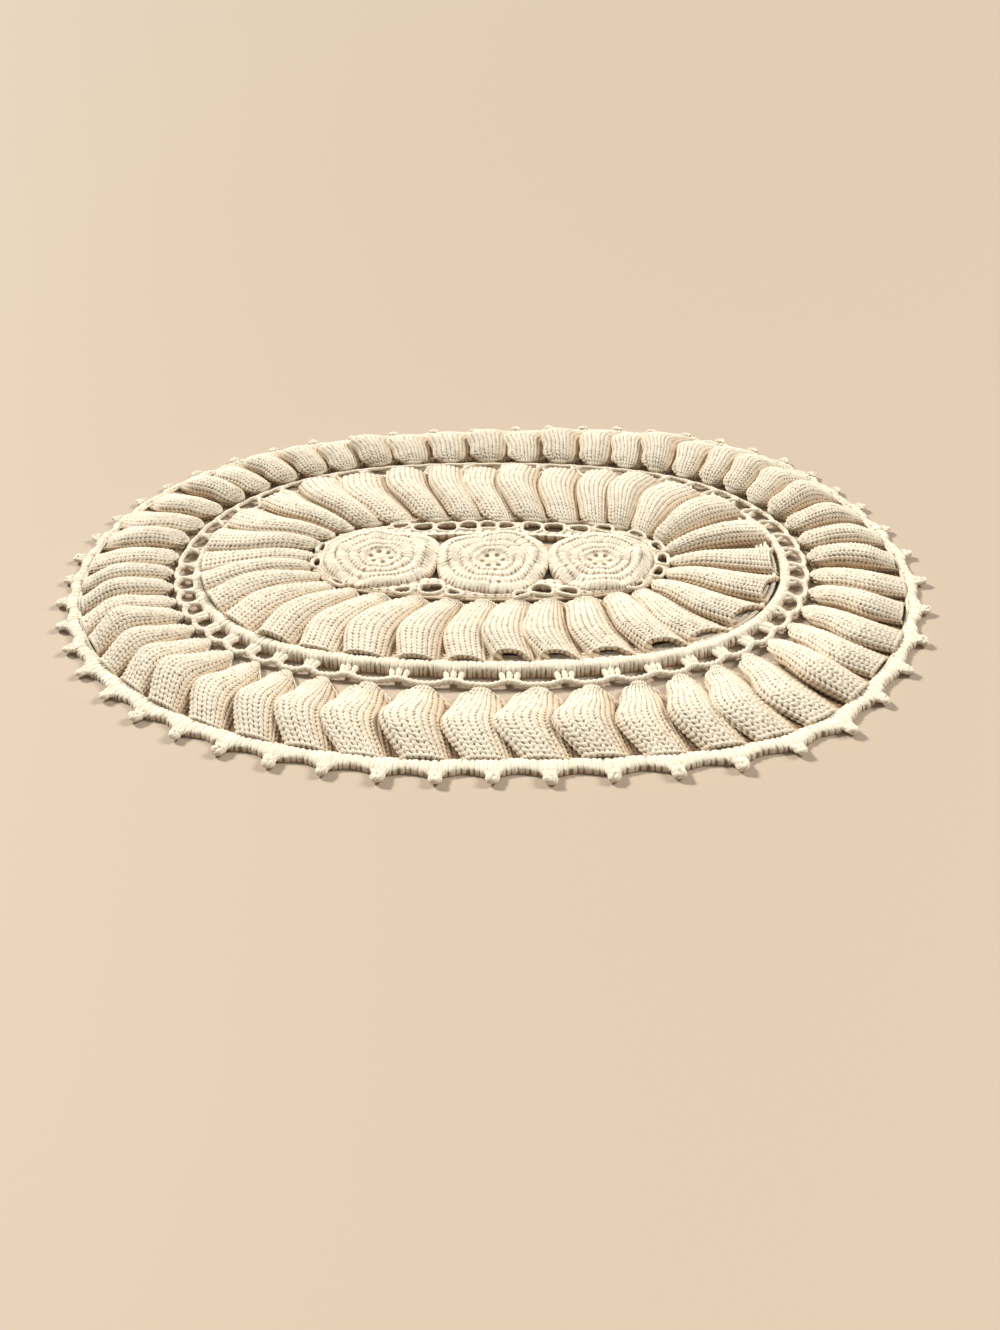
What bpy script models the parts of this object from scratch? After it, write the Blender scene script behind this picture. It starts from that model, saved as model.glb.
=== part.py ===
"""Oval crochet doily in cotton: three roses, a net, two rings of soft pleats, a corded band, a mesh and an edging.

Metres, +Z up, +X along the doily, the underside on z = 0 and the origin in the middle of that underside. Every ring
lies at a reach from one flat oval, measured square to it, so that the rings stay side by side all the way round. A
place round the doily is a share of its length, anticlockwise from the +X end.
"""
import math

import bpy
import numpy as np

NAME = "lace_doily"

# The oval that every ring is laid out from.
OVAL_HALF_LENGTH = 0.0534
OVAL_HALF_WIDTH = 0.0094
TRACE_STEPS = 2400

# Reach of each ring from that oval, and the gap left between neighbours.
GAP = 0.0003
NET_REACH = 0.0219
BAND_IN, BAND_OUT = 0.0643, 0.0706
MESH_OUT = 0.0774
EDGING_IN, EDGING_DIP, EDGING_CREST = 0.1167, 0.1224, 0.1242
PICOT_REACH = 0.1284
INNER_MEASURE, OUTER_MEASURE = 0.066, 0.120

# Thicknesses.
NET_UNDER, NET_TOP = 0.0010, 0.0030
BAND_HEIGHT = 0.0048
MESH_HEIGHT = 0.0022
EDGING_HEIGHT = 0.0024
INNER_CREST, OUTER_CREST = 0.0076, 0.0080

# Counts.
OUTER_PLEATS, PICOTS = 50, 52
RING_STEPS = 100

# How far the handwork strays from even.
CREST_STRAY = 0.07
LEAN_STRAY = 0.16
# Share of the way round at which the pleats turn over: all of them lie towards the -X end.
TURNOVER_SHARE = 0.03
TURNOVER_SHARPNESS = 3.0

# Where the edges between pleats lie: pleat number, share at the ring's inner side, share at its outer side.
INNER_SPACING = (
    # pleat, inner, outer
    (0, 0.011, 0.020),
    (3, 0.126, 0.122),
    (6, 0.204, 0.212),
    (10, 0.306, 0.327),
    (13, 0.403, 0.427),
    (16, 0.518, 0.526),
    (19, 0.628, 0.615),
    (22, 0.714, 0.706),
    (26, 0.807, 0.818),
    (29, 0.895, 0.915),
    (32, 1.011, 1.020),
)
OUTER_SPACING = (
    # pleat, inner, outer
    (0, 0.515, 0.517),
    (5, 0.600, 0.604),
    (10, 0.694, 0.707),
    (14, 0.787, 0.790),
    (21, 0.932, 0.931),
    (28, 1.073, 1.074),
    (37, 1.246, 1.236),
    (50, 1.515, 1.517),
)

# How far the outer edge lies outside its even ring, by share of the way round: the doily isn't pulled out evenly.
EDGE_STRAY = (
    # share, shift
    (0.000, -0.0050),
    (0.035, -0.0062),
    (0.065, -0.0058),
    (0.100, -0.0022),
    (0.150, -0.0008),
    (0.185, -0.0030),
    (0.225, -0.0062),
    (0.260, -0.0100),
    (0.330, -0.0108),
    (0.380, -0.0085),
    (0.430, -0.0062),
    (0.480, -0.0050),
    (0.550, -0.0040),
    (0.640, -0.0036),
    (0.690, -0.0014),
    (0.730, -0.0004),
    (0.765, -0.0018),
    (0.805, -0.0006),
    (0.840, 0.0018),
    (0.878, 0.0030),
    (0.905, -0.0004),
    (0.940, -0.0024),
    (1.000, -0.0050),
)

# One pleat in section, standing up. Across is a share of the pleat's width from its middle, up a share of the crest.
STANDING = (
    # top across, top up, under across, under up
    (-0.50, 0.25, -0.50, 0.00),
    (-0.42, 0.43, -0.42, 0.00),
    (-0.33, 0.68, -0.29, 0.44),
    (-0.15, 0.98, -0.13, 0.76),
    (0.15, 0.98, 0.13, 0.76),
    (0.33, 0.68, 0.29, 0.44),
    (0.42, 0.43, 0.42, 0.00),
)
# The same pleat fallen over its neighbour on the left.
FALLEN = (
    # top across, top up, under across, under up
    (-0.58, 0.25, -0.56, 0.00),
    (-0.80, 0.54, -0.42, 0.00),
    (-0.905, 0.78, -0.63, 0.62),
    (-0.76, 1.00, -0.72, 0.77),
    (-0.36, 0.96, -0.38, 0.75),
    (-0.02, 0.67, -0.06, 0.46),
    (0.24, 0.41, 0.22, 0.20),
)
# How the end of a pleat is drawn in, for the same columns: across, and how far it stands back from the ring.
POINTED_END = (
    # across, top up, set back
    (-0.50, 0.20, 1.00),
    (-0.36, 0.24, 0.62),
    (-0.22, 0.28, 0.28),
    (-0.09, 0.29, 0.00),
    (0.09, 0.29, 0.00),
    (0.22, 0.28, 0.28),
    (0.36, 0.24, 0.62),
)
# The columns of a section at the valleys, which a section's own set back moves.
VALLEY_COLUMNS = np.array((1, 1, 0, 0, 0, 0, 1))
# Sections along a pleat: share of its length, crest and lean as shares of their full sizes, set-back as a share.
OUTER_SECTIONS = (
    # along, crest, lean, set back
    (0.31, 0.80, 0.50, 0.0),
    (0.58, 1.00, 1.00, 0.0),
    (1.00, 0.45, 0.45, 0.0),
)
OUTER_SET_BACK = 0.0082
INNER_SECTIONS = (
    # along, crest, lean, set back
    (0.22, 0.72, 0.55, 0.0),
    (0.60, 1.00, 1.00, 0.0),
    (1.00, 0.80, 0.60, -0.0034),
)
INNER_SET_BACK = 0.0036

# Mesh round: the openings between its bars, under each pleat's inner point, as shares of the pitch, and their reaches.
MESH_HOLE_NEAR, MESH_HOLE_FAR = 0.52, 0.70
MESH_HOLE_IN, MESH_HOLE_OUT = 0.0714, 0.0753

# One picot with its half scallops: place as a share of the pitch, reach.
PICOT = (
    # across, reach
    (-0.50, EDGING_DIP),
    (-0.12, EDGING_CREST),
    (-0.11, PICOT_REACH - 0.0014),
    (-0.05, PICOT_REACH),
    (0.05, PICOT_REACH),
    (0.11, PICOT_REACH - 0.0014),
    (0.12, EDGING_CREST),
)
# Where the picots stand on the outer ring, as shares of it.
PICOT_SPACING = (
    # picot, share
    (0, 0.5900),
    (10, 0.7775),
    (18, 0.9434),
    (23, 1.0500),
    (34, 1.2436),
    (42, 1.4157),
    (52, 1.5900),
)

# Roses: middle, half length along X, half width along Y, and how square each corner is (2 is an ellipse), from the
# +X +Y corner anticlockwise.
ROSES = (
    # name, x, y, half length, half width, corners
    ("rose_left", -0.0452, -0.0026, 0.0235, 0.0214, (3.4, 2.1, 1.8, 2.5)),
    ("rose_middle", 0.0016, -0.0046, 0.0228, 0.0230, (3.2, 3.4, 2.2, 2.2)),
    ("rose_right", 0.0458, -0.0036, 0.0210, 0.0208, (2.1, 3.2, 2.4, 1.8)),
)
ROSE_PETALS = 4
ROSE_STEPS = 28
# Rose in section: share of its radius, top, under and how far the petals rise and fall there.
ROSE_RINGS = (
    # share, top, under, petal
    (0.13, 0.0030, 0.0008, 0.0),
    (0.30, 0.0044, 0.0022, 0.0),
    (0.40, 0.0034, 0.0014, 0.0),
    (0.52, 0.0050, 0.0027, 0.0002),
    (0.62, 0.0033, 0.0011, 0.0004),
    (0.82, 0.0044, 0.0020, 0.0007),
    (1.00, 0.0024, 0.0000, 0.0),
)
ROSE_MIDDLE_TOP, ROSE_MIDDLE_UNDER = 0.0034, 0.0008

# Openings of the net: middle, half length along X, half width along Y, turn in degrees.
NET_LEAST_REACH = 0.0085
NET_CLEARANCE = 0.0005
NET_OPENINGS = (
    # x, y, half length, half width, turn
    (-0.0607, -0.0205, 0.0030, 0.0008, -33),
    (-0.0335, -0.0262, 0.0032, 0.0014, 8),
    (-0.0218, -0.0246, 0.0044, 0.0028, 8),
    (-0.0126, -0.0278, 0.0026, 0.0013, -22),
    (0.0142, -0.0281, 0.0024, 0.0011, 22),
    (0.0222, -0.0250, 0.0040, 0.0028, -10),
    (0.0328, -0.0258, 0.0038, 0.0018, -10),
    (0.0598, -0.0207, 0.0030, 0.0009, 34),
    (0.0690, -0.0108, 0.0032, 0.0018, 64),
    (0.0716, -0.0010, 0.0034, 0.0019, 88),
    (0.0700, 0.0090, 0.0034, 0.0018, 112),
    (0.0618, 0.0188, 0.0034, 0.0018, 140),
    (0.0480, 0.0240, 0.0034, 0.0020, 165),
    (0.0374, 0.0233, 0.0040, 0.0022, 172),
    (0.0266, 0.0238, 0.0042, 0.0036, 0),
    (0.0172, 0.0244, 0.0038, 0.0036, 0),
    (0.0062, 0.0254, 0.0034, 0.0022, 0),
    (-0.0020, 0.0256, 0.0034, 0.0022, 0),
    (-0.0106, 0.0250, 0.0038, 0.0028, 0),
    (-0.0200, 0.0240, 0.0042, 0.0032, 0),
    (-0.0302, 0.0236, 0.0042, 0.0028, 8),
    (-0.0402, 0.0248, 0.0034, 0.0016, 12),
    (-0.0716, 0.0058, 0.0028, 0.0011, 84),
    (-0.0716, -0.0060, 0.0028, 0.0013, 98),
)

COLOURS = {
    # part: red, green, blue
    "rose": (0.80, 0.72, 0.57),
    "centre_net": (0.77, 0.68, 0.52),
    "inner_pleats": (0.79, 0.71, 0.55),
    "cord_band": (0.81, 0.73, 0.58),
    "mesh_round": (0.77, 0.68, 0.52),
    "outer_pleats": (0.79, 0.71, 0.55),
    "edging": (0.80, 0.72, 0.57),
}


def ring_point(angle, reach):
    """Points at a reach from the oval, where its outward direction has this angle."""
    c, s = np.cos(angle), np.sin(angle)
    size = np.sqrt((OVAL_HALF_LENGTH * c) ** 2 + (OVAL_HALF_WIDTH * s) ** 2)
    x = OVAL_HALF_LENGTH**2 * c / size + reach * c
    y = OVAL_HALF_WIDTH**2 * s / size + reach * s
    return x, y


def angle_of(share, measure_reach):
    """The outward angle at a share of the length of the ring at measure_reach."""
    angles = np.linspace(0.0, 2 * math.pi, TRACE_STEPS + 1)
    x, y = ring_point(angles, measure_reach)
    walked = np.concatenate(([0.0], np.cumsum(np.hypot(np.diff(x), np.diff(y)))))
    turns = np.floor(share)
    return 2 * math.pi * turns + np.interp(share - turns, walked / walked[-1], angles)


def edge_reach(share, reach):
    """The reach on the uneven outer edge that answers to this reach on an even one."""
    shares, shifts = np.array(EDGE_STRAY).T
    return reach + np.interp(np.mod(share, 1.0), shares, shifts)


def even_reach(_, reach):
    return reach


def material(part):
    made = bpy.data.materials.new(part)
    made.use_nodes = True
    shader = made.node_tree.nodes["Principled BSDF"]
    shader.inputs["Base Color"].default_value = (*COLOURS[part], 1.0)
    shader.inputs["Roughness"].default_value = 0.9
    return made


def add_mesh(name, part, points, faces, collection):
    mesh = bpy.data.meshes.new(name)
    mesh.from_pydata([tuple(p) for p in points], [], [tuple(f) for f in faces])
    mesh.materials.append(material(part))
    made = bpy.data.objects.new(name, mesh)
    collection.objects.link(made)
    return made


def add_outline(curve, x, y):
    spline = curve.splines.new("POLY")
    spline.points.add(len(x) - 1)
    spline.use_cyclic_u = True
    for point, across, along in zip(spline.points, x, y):
        point.co = (across, along, 0.0, 1.0)


def add_plate(name, outlines, under, top, collection):
    """A flat plate between two heights: the first outline is its edge, the others are openings."""
    curve = bpy.data.curves.new(name, "CURVE")
    curve.dimensions = "2D"
    curve.fill_mode = "BOTH"
    curve.extrude = (top - under) / 2
    for x, y in outlines:
        add_outline(curve, x, y)
    curve.materials.append(material(name))
    made = bpy.data.objects.new(name, curve)
    made.location.z = (top + under) / 2
    collection.objects.link(made)
    return made


def closed_sheet(top, under):
    """Points and faces of a ring-shaped sheet, from its top and underside as rows x columns x 3 grids."""
    rows, columns = top.shape[:2]
    points = np.concatenate((top.reshape(-1, 3), under.reshape(-1, 3)))
    lower = rows * columns
    faces = []
    for column in range(columns):
        ahead = (column + 1) % columns
        for row in range(rows - 1):
            a, b = row * columns + column, row * columns + ahead
            c, d = b + columns, a + columns
            faces.append((a, d, c, b))
            faces.append((lower + a, lower + b, lower + c, lower + d))
        faces.append((column, ahead, lower + ahead, lower + column))
        a, b = (rows - 1) * columns + column, (rows - 1) * columns + ahead
        faces.append((a, lower + a, lower + b, b))
    return points, faces


def pleat_lean(share):
    """-1 where a pleat has fallen clockwise over its neighbour, +1 where it has fallen the other way."""
    swing = math.sin(2 * math.pi * (share - TURNOVER_SHARE))
    return max(-1.0, min(1.0, TURNOVER_SHARPNESS * swing))


def pleat_section(lean):
    """The columns of one pleat between standing (0) and fallen (-1 or +1)."""
    standing = np.array(STANDING)
    fallen = np.array(FALLEN)
    if lean > 0:
        # A mirrored pleat keeps the column order, so its own edge column stays first.
        fallen = np.concatenate((fallen[:1], fallen[:0:-1]))
        fallen[:, (0, 2)] *= -1
        fallen[0, (0, 2)] -= 1.0
    return standing + abs(lean) * (fallen - standing)


def pleated_ring(name, spacing, measure_reach, reach, outer_edge, crest, sections, set_back, collection):
    """A cloth strip gathered into pleats between two rings; outer_edge gives the reach of its outer side."""
    numbers, inner_shares, outer_shares = np.array(spacing).T
    pleats = int(numbers[-1])
    rows_top, rows_under = [], []
    for row in range(len(sections) + 1):
        top_row, under_row = [], []
        for pleat in range(pleats):
            middle = np.interp(pleat + 0.5, numbers, outer_shares) % 1.0
            own_crest = crest * (1 + CREST_STRAY * math.sin(2.4 * pleat) - CREST_STRAY / 2)
            own_lean = pleat_lean(middle) * (1 - LEAN_STRAY * (0.5 + 0.5 * math.sin(1.7 * pleat + 0.5)))
            if row == 0:
                across, up, back = np.array(POINTED_END).T
                section = np.column_stack((across, up, across, np.zeros(len(across))))
                along, height, stand_back = 0.0, crest, back * set_back
            else:
                along, crest_share, lean_share, stand_back = sections[row - 1]
                section = pleat_section(own_lean * lean_share)
                height = own_crest * crest_share
                stand_back = stand_back * VALLEY_COLUMNS
            length = reach[1] - reach[0]
            share_along = along + stand_back / length
            for offset, made in ((0, top_row), (2, under_row)):
                place = (pleat + 0.5 + section[:, offset]) % pleats
                outer_share = np.interp(place, numbers, outer_shares)
                inner_share = np.interp(place, numbers, inner_shares)
                x0, y0 = ring_point(angle_of(inner_share, measure_reach), reach[0])
                x1, y1 = ring_point(angle_of(outer_share, measure_reach), outer_edge(outer_share, reach[1]))
                x = x0 + (x1 - x0) * share_along
                y = y0 + (y1 - y0) * share_along
                made.append(np.column_stack((x, y, section[:, offset + 1] * height)))
        rows_top.append(np.concatenate(top_row))
        rows_under.append(np.concatenate(under_row))
    points, faces = closed_sheet(np.array(rows_top), np.array(rows_under))
    return add_mesh(name, name, points, faces, collection)


def even_ring(reach, measure_reach, steps=RING_STEPS):
    shares = np.arange(steps) / steps
    return ring_point(angle_of(shares, measure_reach), reach)


def closed_curve(name, x, y, dimensions):
    curve = bpy.data.curves.new(name, "CURVE")
    curve.dimensions = dimensions
    add_outline(curve, x, y)
    return curve


def cord_band(collection, guides):
    """A round cord worked over with stitches: flat underneath and rounded above."""
    half = (BAND_OUT - BAND_IN) / 2
    across = np.array((-1.0, -0.55, 0.55, 1.0, 1.0, -1.0)) * half
    up = np.array((0.55, 1.0, 1.0, 0.55, 0.0, 0.0)) * BAND_HEIGHT
    profile = bpy.data.objects.new("band_profile", closed_curve("band_profile", across, up, "2D"))
    profile.hide_render = True
    profile.display_type = "WIRE"
    guides.objects.link(profile)
    x, y = even_ring(BAND_IN + half, INNER_MEASURE)
    curve = closed_curve("cord_band", x, y, "3D")
    curve.twist_mode = "Z_UP"
    curve.bevel_mode = "OBJECT"
    curve.bevel_object = profile
    curve.materials.append(material("cord_band"))
    collection.objects.link(bpy.data.objects.new("cord_band", curve))


def mesh_round(collection):
    """The net round outside the band: bars up to a line of chain, with an opening for each pleat."""
    outlines = [even_ring(MESH_OUT, OUTER_MEASURE), even_ring(BAND_OUT + GAP, OUTER_MEASURE)]
    numbers, inner_shares, _ = np.array(OUTER_SPACING).T
    for opening in range(OUTER_PLEATS):
        near = np.array((-0.5, 0.5)) * MESH_HOLE_NEAR
        far = np.array((0.5, -0.5)) * MESH_HOLE_FAR
        places = (opening + 0.5 + np.concatenate((near, far))) % OUTER_PLEATS
        angles = angle_of(np.interp(places, numbers, inner_shares), OUTER_MEASURE)
        reaches = np.array((MESH_HOLE_IN, MESH_HOLE_IN, MESH_HOLE_OUT, MESH_HOLE_OUT))
        outlines.append(ring_point(angles, reaches))
    return add_plate("mesh_round", outlines, 0.0, MESH_HEIGHT, collection)


def edging_rim():
    """Shallow scallops with a picot on each."""
    across, reach = np.array(PICOT).T
    numbers, spaced = np.array(PICOT_SPACING).T
    places = np.arange(PICOTS)[:, None] + across
    shares = np.interp(places % PICOTS, numbers, spaced).ravel()
    return ring_point(angle_of(shares, OUTER_MEASURE), edge_reach(shares, np.tile(reach, PICOTS)))


def edging(collection):
    shares = np.arange(RING_STEPS) / RING_STEPS
    inner = ring_point(angle_of(shares, OUTER_MEASURE), edge_reach(shares, EDGING_IN))
    return add_plate("edging", [edging_rim(), inner], 0.0, EDGING_HEIGHT, collection)


def centre_on_origin(objects):
    x, y = edging_rim()
    for made in objects:
        made.location.x = -(x.min() + x.max()) / 2
        made.location.y = -(y.min() + y.max()) / 2


def rose_radius(angle, half_length, half_width, corners):
    """Rim of a rose: between an ellipse and a rectangle, by how square each corner is."""
    power = np.array(corners)[np.int64(np.floor(angle / (math.pi / 2))) % len(corners)]
    along, across = np.abs(np.cos(angle)) / half_length, np.abs(np.sin(angle)) / half_width
    return (along**power + across**power) ** (-1 / power)


def rose(name, x, y, half_length, half_width, corners, collection):
    """Rounds of petals worked from a small ring outwards."""
    angles = np.arange(ROSE_STEPS) * 2 * math.pi / ROSE_STEPS
    rim = rose_radius(angles, half_length, half_width, corners)
    lift = np.cos(ROSE_PETALS * angles)
    top, under = [], []
    for share, up, below, petal in ROSE_RINGS:
        across, along = x + rim * share * np.cos(angles), y + rim * share * np.sin(angles)
        top.append(np.column_stack((across, along, up + petal * lift)))
        under.append(np.column_stack((across, along, below + petal * lift)))
    points, faces = closed_sheet(np.array(top), np.array(under))
    lower = len(ROSE_RINGS) * ROSE_STEPS
    middle_top = len(points)
    points = np.vstack((points, (x, y, ROSE_MIDDLE_TOP), (x, y, ROSE_MIDDLE_UNDER)))
    inner_wall = {(step, (step + 1) % ROSE_STEPS) for step in range(ROSE_STEPS)}
    faces = [face for face in faces if (face[0], face[1]) not in inner_wall]
    for step in range(ROSE_STEPS):
        ahead = (step + 1) % ROSE_STEPS
        faces.append((middle_top, step, ahead))
        faces.append((middle_top + 1, lower + ahead, lower + step))
    return add_mesh(name, "rose", points, faces, collection)


def outside_roses(x, y):
    """How far a point is outside the nearest rose."""
    least = 1.0
    for _, middle_x, middle_y, *shape in ROSES:
        away = math.hypot(x - middle_x, y - middle_y)
        toward = math.atan2(y - middle_y, x - middle_x)
        least = min(least, away - float(rose_radius(toward, *shape)))
    return least


def centre_net(collection):
    """The net that joins the roses to the first pleats, open between its chains."""
    angles = angle_of(np.arange(RING_STEPS) / RING_STEPS, NET_REACH)
    inner = []
    for angle in angles:
        reach = NET_LEAST_REACH
        while outside_roses(*map(float, ring_point(angle, reach))) < NET_CLEARANCE:
            reach += 0.0001
        inner.append(ring_point(angle, reach))
    outlines = [ring_point(angles, NET_REACH), np.array(inner).T]
    for x, y, half_length, half_width, turn in NET_OPENINGS:
        c, s = math.cos(math.radians(turn)), math.sin(math.radians(turn))
        corner_x = np.array((-1.0, -0.35, 0.65, 1.0, 0.35, -0.65)) * half_length
        corner_y = np.array((-0.35, -1.0, -0.85, 0.35, 1.0, 0.85)) * half_width
        outlines.append((x + c * corner_x - s * corner_y, y + s * corner_x + c * corner_y))
    return add_plate("centre_net", outlines, NET_UNDER, NET_TOP, collection)


def main():
    for old in list(bpy.data.objects):
        bpy.data.objects.remove(old, do_unlink=True)
    collection = bpy.data.collections.new(NAME)
    bpy.context.scene.collection.children.link(collection)
    guides = bpy.data.collections.new("guides")
    bpy.context.scene.collection.children.link(guides)
    for row in ROSES:
        rose(*row, collection)
    centre_net(collection)
    inner_reach = (NET_REACH + GAP, BAND_IN - GAP)
    pleated_ring(
        "inner_pleats",
        INNER_SPACING,
        INNER_MEASURE,
        inner_reach,
        even_reach,
        INNER_CREST,
        INNER_SECTIONS,
        INNER_SET_BACK,
        collection,
    )
    cord_band(collection, guides)
    mesh_round(collection)
    outer_reach = (MESH_OUT + GAP, EDGING_IN - GAP)
    pleated_ring(
        "outer_pleats",
        OUTER_SPACING,
        OUTER_MEASURE,
        outer_reach,
        edge_reach,
        OUTER_CREST,
        OUTER_SECTIONS,
        OUTER_SET_BACK,
        collection,
    )
    edging(collection)
    centre_on_origin(collection.objects)


main()
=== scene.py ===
"""Oval crochet doily with every stitch in its surface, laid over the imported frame."""

import math

import bpy
import numpy as np
from mathutils import Matrix, Vector


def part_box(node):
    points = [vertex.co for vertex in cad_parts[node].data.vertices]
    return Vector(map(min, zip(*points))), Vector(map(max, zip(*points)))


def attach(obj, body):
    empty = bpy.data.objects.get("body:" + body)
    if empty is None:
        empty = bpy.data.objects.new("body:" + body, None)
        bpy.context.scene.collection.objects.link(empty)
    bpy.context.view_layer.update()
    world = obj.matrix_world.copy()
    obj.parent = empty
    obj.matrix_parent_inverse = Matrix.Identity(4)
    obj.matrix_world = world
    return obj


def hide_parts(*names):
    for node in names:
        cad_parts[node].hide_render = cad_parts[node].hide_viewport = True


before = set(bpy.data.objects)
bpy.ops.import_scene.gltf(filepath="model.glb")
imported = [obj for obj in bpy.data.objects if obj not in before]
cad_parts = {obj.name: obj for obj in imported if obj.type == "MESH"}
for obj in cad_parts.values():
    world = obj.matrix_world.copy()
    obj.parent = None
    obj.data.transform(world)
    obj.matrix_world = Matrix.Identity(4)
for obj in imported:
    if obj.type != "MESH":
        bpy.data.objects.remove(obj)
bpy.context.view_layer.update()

# ---- the doily's plan, in millimetres
OVAL_HALF_LENGTH, OVAL_HALF_WIDTH = 53.4, 9.4
TRACE_STEPS = 6000
NET_REACH = 21.9
BAND_IN, BAND_OUT = 64.3, 70.6
MESH_OUT = 77.4
EDGING_IN, EDGING_DIP, EDGING_CREST, PICOT_REACH = 116.7, 122.4, 124.2, 128.4
INNER_MEASURE, OUTER_MEASURE = 66.0, 120.0
GAP = 0.3
OUTER_PLEATS, PICOTS, BARS_PER_PICOT = 50, 52, 9
PICOT_SPACING = (
    (0, 0.5900), (10, 0.7775), (18, 0.9434), (23, 1.0500), (34, 1.2436), (42, 1.4157), (52, 1.5900),
)
INNER_CREST, OUTER_CREST = 8.2, 8.9
CREST_STRAY, LEAN_STRAY = 0.13, 0.30
TURNOVER_SHARE, TURNOVER_SHARPNESS = 0.03, 3.0

INNER_SPACING = (
    (0, 0.011, 0.020), (3, 0.126, 0.122), (6, 0.204, 0.212), (10, 0.306, 0.327), (13, 0.403, 0.427),
    (16, 0.518, 0.526), (19, 0.628, 0.615), (22, 0.714, 0.706), (26, 0.807, 0.818), (29, 0.895, 0.915),
    (32, 1.011, 1.020),
)
OUTER_SPACING = (
    (0, 0.515, 0.517), (5, 0.600, 0.604), (10, 0.694, 0.707), (14, 0.787, 0.790), (21, 0.932, 0.931),
    (28, 1.073, 1.074), (37, 1.246, 1.236), (50, 1.515, 1.517),
)
EDGE_STRAY = (
    (0.000, -5.0), (0.035, -6.2), (0.065, -5.8), (0.100, -2.2), (0.150, -0.8), (0.185, -3.0), (0.225, -6.2),
    (0.260, -10.0), (0.330, -10.8), (0.380, -8.5), (0.430, -6.2), (0.480, -5.0), (0.550, -4.0), (0.640, -3.6),
    (0.690, -1.4), (0.730, -0.4), (0.765, -1.8), (0.805, -0.6), (0.840, 1.8), (0.878, 3.0), (0.905, -0.4),
    (0.940, -2.4), (1.000, -5.0),
)
STANDING = np.array((
    (-0.50, 0.08, -0.50, 0.00), (-0.43, 0.30, -0.40, 0.00), (-0.34, 0.72, -0.28, 0.44), (-0.15, 1.02, -0.13, 0.76),
    (0.15, 1.02, 0.13, 0.76), (0.34, 0.72, 0.28, 0.44), (0.43, 0.30, 0.40, 0.00),
))
FALLEN = np.array((
    (-0.58, 0.08, -0.56, 0.00), (-0.83, 0.42, -0.42, 0.00), (-0.95, 0.78, -0.63, 0.60), (-0.78, 1.05, -0.72, 0.77),
    (-0.36, 1.02, -0.38, 0.75), (-0.01, 0.70, -0.06, 0.44), (0.26, 0.28, 0.22, 0.10),
))
POINTED_END = np.array((
    (-0.50, 0.20, 1.00), (-0.36, 0.24, 0.62), (-0.22, 0.28, 0.28), (-0.09, 0.29, 0.00), (0.09, 0.29, 0.00),
    (0.22, 0.28, 0.28), (0.36, 0.24, 0.62),
))
OUTER_SECTIONS = ((0.10, 0.60, 0.25, 8.4), (0.31, 0.90, 0.55, 2.6), (0.58, 1.00, 1.00, 0.0), (1.00, 0.34, 0.45, 0.0))
INNER_SECTIONS = ((0.08, 0.55, 0.30, 3.0), (0.24, 0.85, 0.60, 0.0), (0.60, 1.00, 1.00, 0.0), (1.00, 0.74, 0.60, 0.0))
# How far each column of an inner pleat's outer end stands back where the pleats open beside the band.
MOUTH = np.array((0.0, -0.3, -3.2, -4.4, -4.0, -1.5, 0.0))
MOUTH_SHARES, MOUTH_OPEN = (0.0, 0.04, 0.10, 0.72, 0.78, 1.0), (1.0, 0.7, 0.0, 0.0, 1.0, 1.0)
OUTER_SET_BACK, INNER_SET_BACK = 8.2, 3.6
# In front, how much lower each row of sections stands, how much narrower the first ones are, how much lower the
# points are and how much further back their sides start.
FRONT_SHARE = 0.75
FRONT_LOWERED, FRONT_NARROWED = (0.66, 0.46, 0.20, 0.06), (0.0, 0.22, 0.10)
POINT_LOWERED, FRONT_SET_BACK = 0.35, 3.2
# How far the outer ends are drawn in, as shares, and how short of the edging they may stop.
OUTER_DRAWN, INNER_DRAWN, ENDS_SHORT = 0.84, 0.12, 1.3
# How far the outer ends bulge over the next ring at the back.
OUTER_BULGE, INNER_BULGE = 2.2, 1.7

ROSES = (
    ("rose_left", -45.2, -2.6, 23.5, 21.4, (3.4, 2.1, 1.8, 2.5), 0.10),
    ("rose_middle", 1.6, -4.6, 22.8, 23.0, (3.2, 3.4, 2.2, 2.2), -0.06),
    ("rose_right", 45.8, -3.6, 21.0, 20.8, (2.1, 3.2, 2.4, 1.8), 0.04),
)
NET_OPENINGS = (
    (-60.7, -20.5, 3.0, 0.8, -33), (-33.5, -26.2, 3.2, 1.4, 8), (-21.8, -24.6, 4.4, 2.8, 8),
    (-12.6, -27.8, 2.6, 1.3, -22), (14.2, -28.1, 2.4, 1.1, 22), (22.2, -25.0, 4.0, 2.8, -10),
    (32.8, -25.8, 3.8, 1.8, -10), (59.8, -20.7, 3.0, 0.9, 34), (69.0, -10.8, 3.2, 1.8, 64),
    (71.6, -1.0, 3.4, 1.9, 88), (70.0, 9.0, 3.4, 1.8, 112), (61.8, 18.8, 3.4, 1.8, 140),
    (48.0, 24.0, 3.4, 2.0, 165), (37.4, 23.3, 4.0, 2.2, 172), (26.6, 23.8, 4.2, 3.6, 0), (17.2, 24.4, 3.8, 3.6, 0),
    (6.2, 25.4, 3.4, 2.2, 0), (-2.0, 25.6, 3.4, 2.2, 0), (-10.6, 25.0, 3.8, 2.8, 0), (-20.0, 24.0, 4.2, 3.2, 0),
    (-30.2, 23.6, 4.2, 2.8, 8), (-40.2, 24.8, 3.4, 1.6, 12), (-71.6, 5.8, 2.8, 1.1, 84), (-71.6, -6.0, 2.8, 1.3, 98),
)

# The middle of the band is the middle of the plan.
band_low, band_high = (np.array(corner) * 1000 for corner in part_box("cord_band"))
SHIFT = np.array(((band_low[0] + band_high[0]) / 2, (band_low[1] + band_high[1]) / 2, 0.0))


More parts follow.
